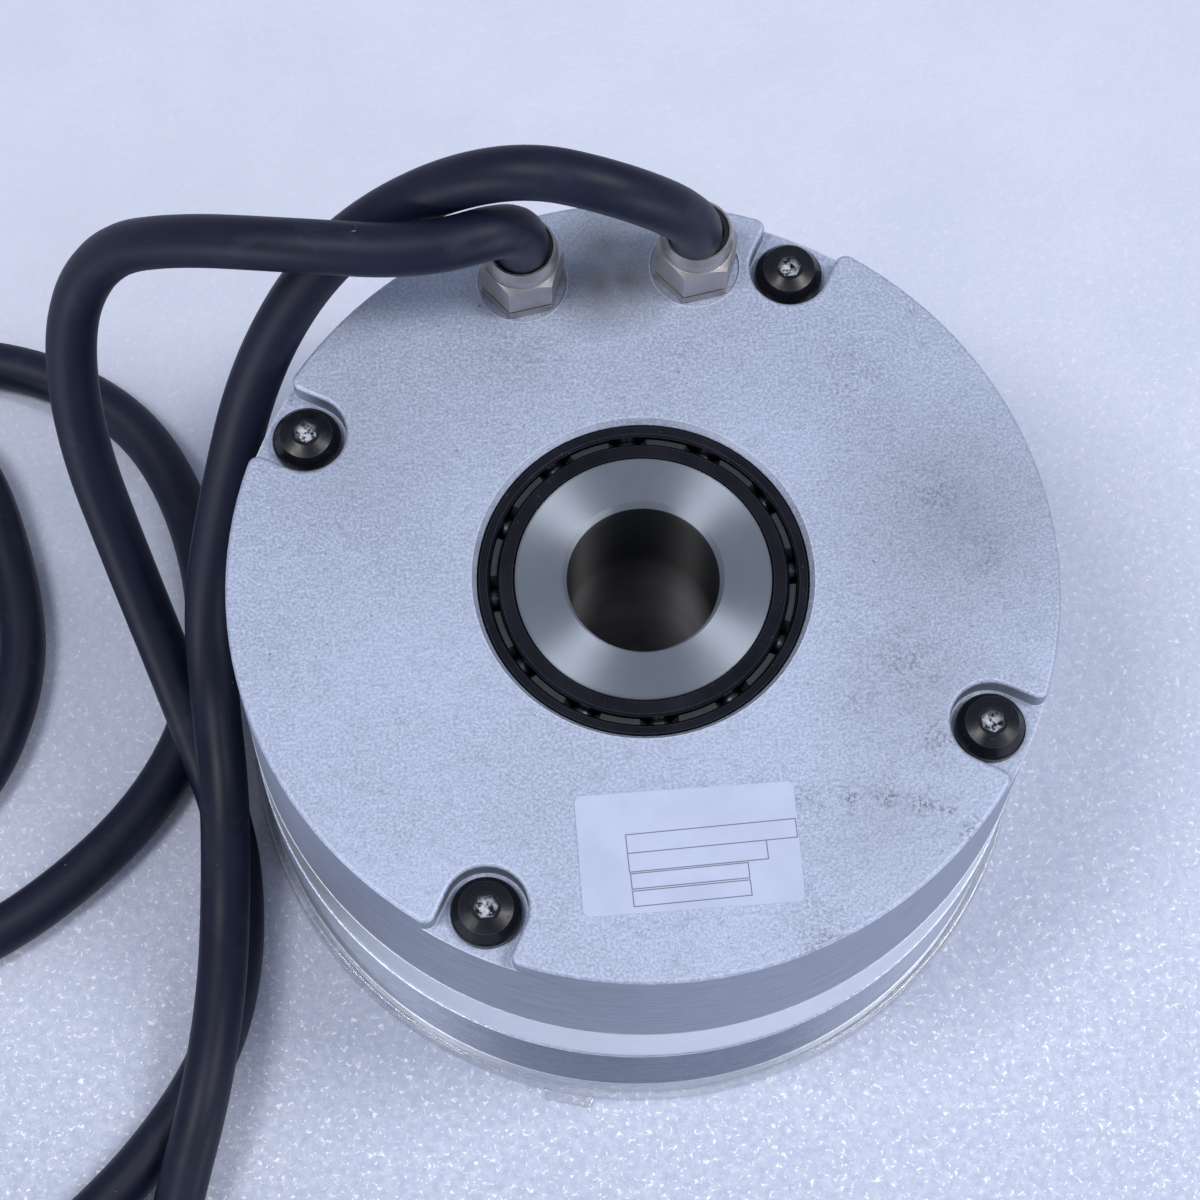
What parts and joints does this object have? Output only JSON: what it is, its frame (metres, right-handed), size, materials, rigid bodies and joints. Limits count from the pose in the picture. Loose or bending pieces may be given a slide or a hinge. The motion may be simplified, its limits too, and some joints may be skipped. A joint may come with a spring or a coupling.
{
  "type": "servo motor",
  "caption": "Flat hollow-shaft AC servo motor with a through bore, a rear ball bearing open to view, a bolt-on front face and two cords on cable glands.",
  "frame": {"origin": "centre of the mounting face, on the shaft axis, at the bottom of the motor without its cords", "axes": "+Z along the shaft axis from the mounting face to the rear cover; +Y towards the two cable glands"},
  "size_m": [0.2139, 0.2464, 0.1064],
  "materials": {
    "cast_aluminium": "as cast, fine grain",
    "turned_aluminium": "fine turned",
    "bearing_steel": "ground, dark",
    "ball_steel": "polished",
    "shaft_steel": "turned face",
    "black_oxide": "satin black oxide",
    "nickel": "nickel plate, satin",
    "black_rubber": "matte",
    "cord_sheath": "soft sheen PVC",
    "cage_polymer": "moulded",
    "clear_plastic": "clear moulded",
    "label_film": "bare pale film",
    "spring_steel": "blue-grey spring wire",
    "plain_steel": "machined",
    "zinc_steel": "zinc plated",
    "lamination": "stacked sheet",
    "magnet": "nickel plated",
    "copper": "enamelled wire",
    "insulation": "moulded nylon",
    "circuit_board": "solder mask",
    "black_plastic": "moulded",
    "white_plastic": "moulded nylon",
    "encoder_glass": "clear",
    "contact_brass": "tin plated"
  },
  "bodies": {
    "housing": {"bearing_retainer": "plain_steel", "board_connectors": "white_plastic", "board_screws": "zinc_steel", "center_frame": "turned_aluminium", "encoder_board": "circuit_board", "encoder_cord_coil": "cord_sheath", "encoder_cord_run": "cord_sheath", "encoder_cord_tail": "cord_sheath", "encoder_gland": "nickel", "encoder_gland_seal": "black_rubber", "encoder_plug": "black_plastic", "encoder_plug_boot": "black_rubber", "encoder_plug_contacts": "contact_brass", "encoder_sensor": "black_plastic", "front_bearing_outer_ring": "bearing_steel", "front_housing": "cast_aluminium", "front_insulator": "insulation", "front_oring": "black_rubber", "front_shaft_seal": "black_rubber", "guard_ring": "clear_plastic", "housing_screws": "black_oxide", "nameplate": "label_film", "power_cord": "cord_sheath", "power_gland": "nickel", "power_gland_seal": "black_rubber", "power_plug": "black_plastic", "power_plug_boot": "black_rubber", "power_plug_contacts": "contact_brass", "rear_bearing_outer_ring": "bearing_steel", "rear_housing": "cast_aluminium", "rear_insulator": "insulation", "rear_oring": "black_rubber", "retainer_screws": "zinc_steel", "screw_washers": "black_oxide", "stator_coils": "copper", "stator_core": "lamination", "wave_spring": "spring_steel", "winding_board": "circuit_board"},
    "rotor": {"hollow_shaft": "shaft_steel", "shaft_spacer": "plain_steel", "rotor_hub": "plain_steel", "rotor_magnets": "magnet", "magnet_sleeve": "zinc_steel", "rotor_lock_nut": "black_oxide", "encoder_hub": "turned_aluminium", "encoder_disc": "encoder_glass", "rear_bearing_inner_ring": "bearing_steel", "front_bearing_inner_ring": "bearing_steel"},
    "rear_cage": {"rear_bearing_cage": "cage_polymer", "rear_bearing_balls": "ball_steel"},
    "front_cage": {"front_bearing_cage": "cage_polymer", "front_bearing_balls": "ball_steel"}
  },
  "joints": [
    {"name": "shaft_spin", "type": "hinge", "parent": "housing", "child": "rotor", "pos_m": [0, 0, 0.035], "axis": [0, 0, 1], "continuous": true},
    {"name": "rear_cage_spin", "type": "hinge", "parent": "housing", "child": "rear_cage", "pos_m": [0, 0, 0.0654], "axis": [0, 0, 1], "continuous": true},
    {"name": "front_cage_spin", "type": "hinge", "parent": "housing", "child": "front_cage", "pos_m": [0, 0, 0.0125], "axis": [0, 0, 1], "continuous": true}
  ],
  "couplings": [
    {"joint": "rear_cage_spin", "follows": "shaft_spin", "ratio": 0.4595},
    {"joint": "front_cage_spin", "follows": "shaft_spin", "ratio": 0.4612}
  ]
}
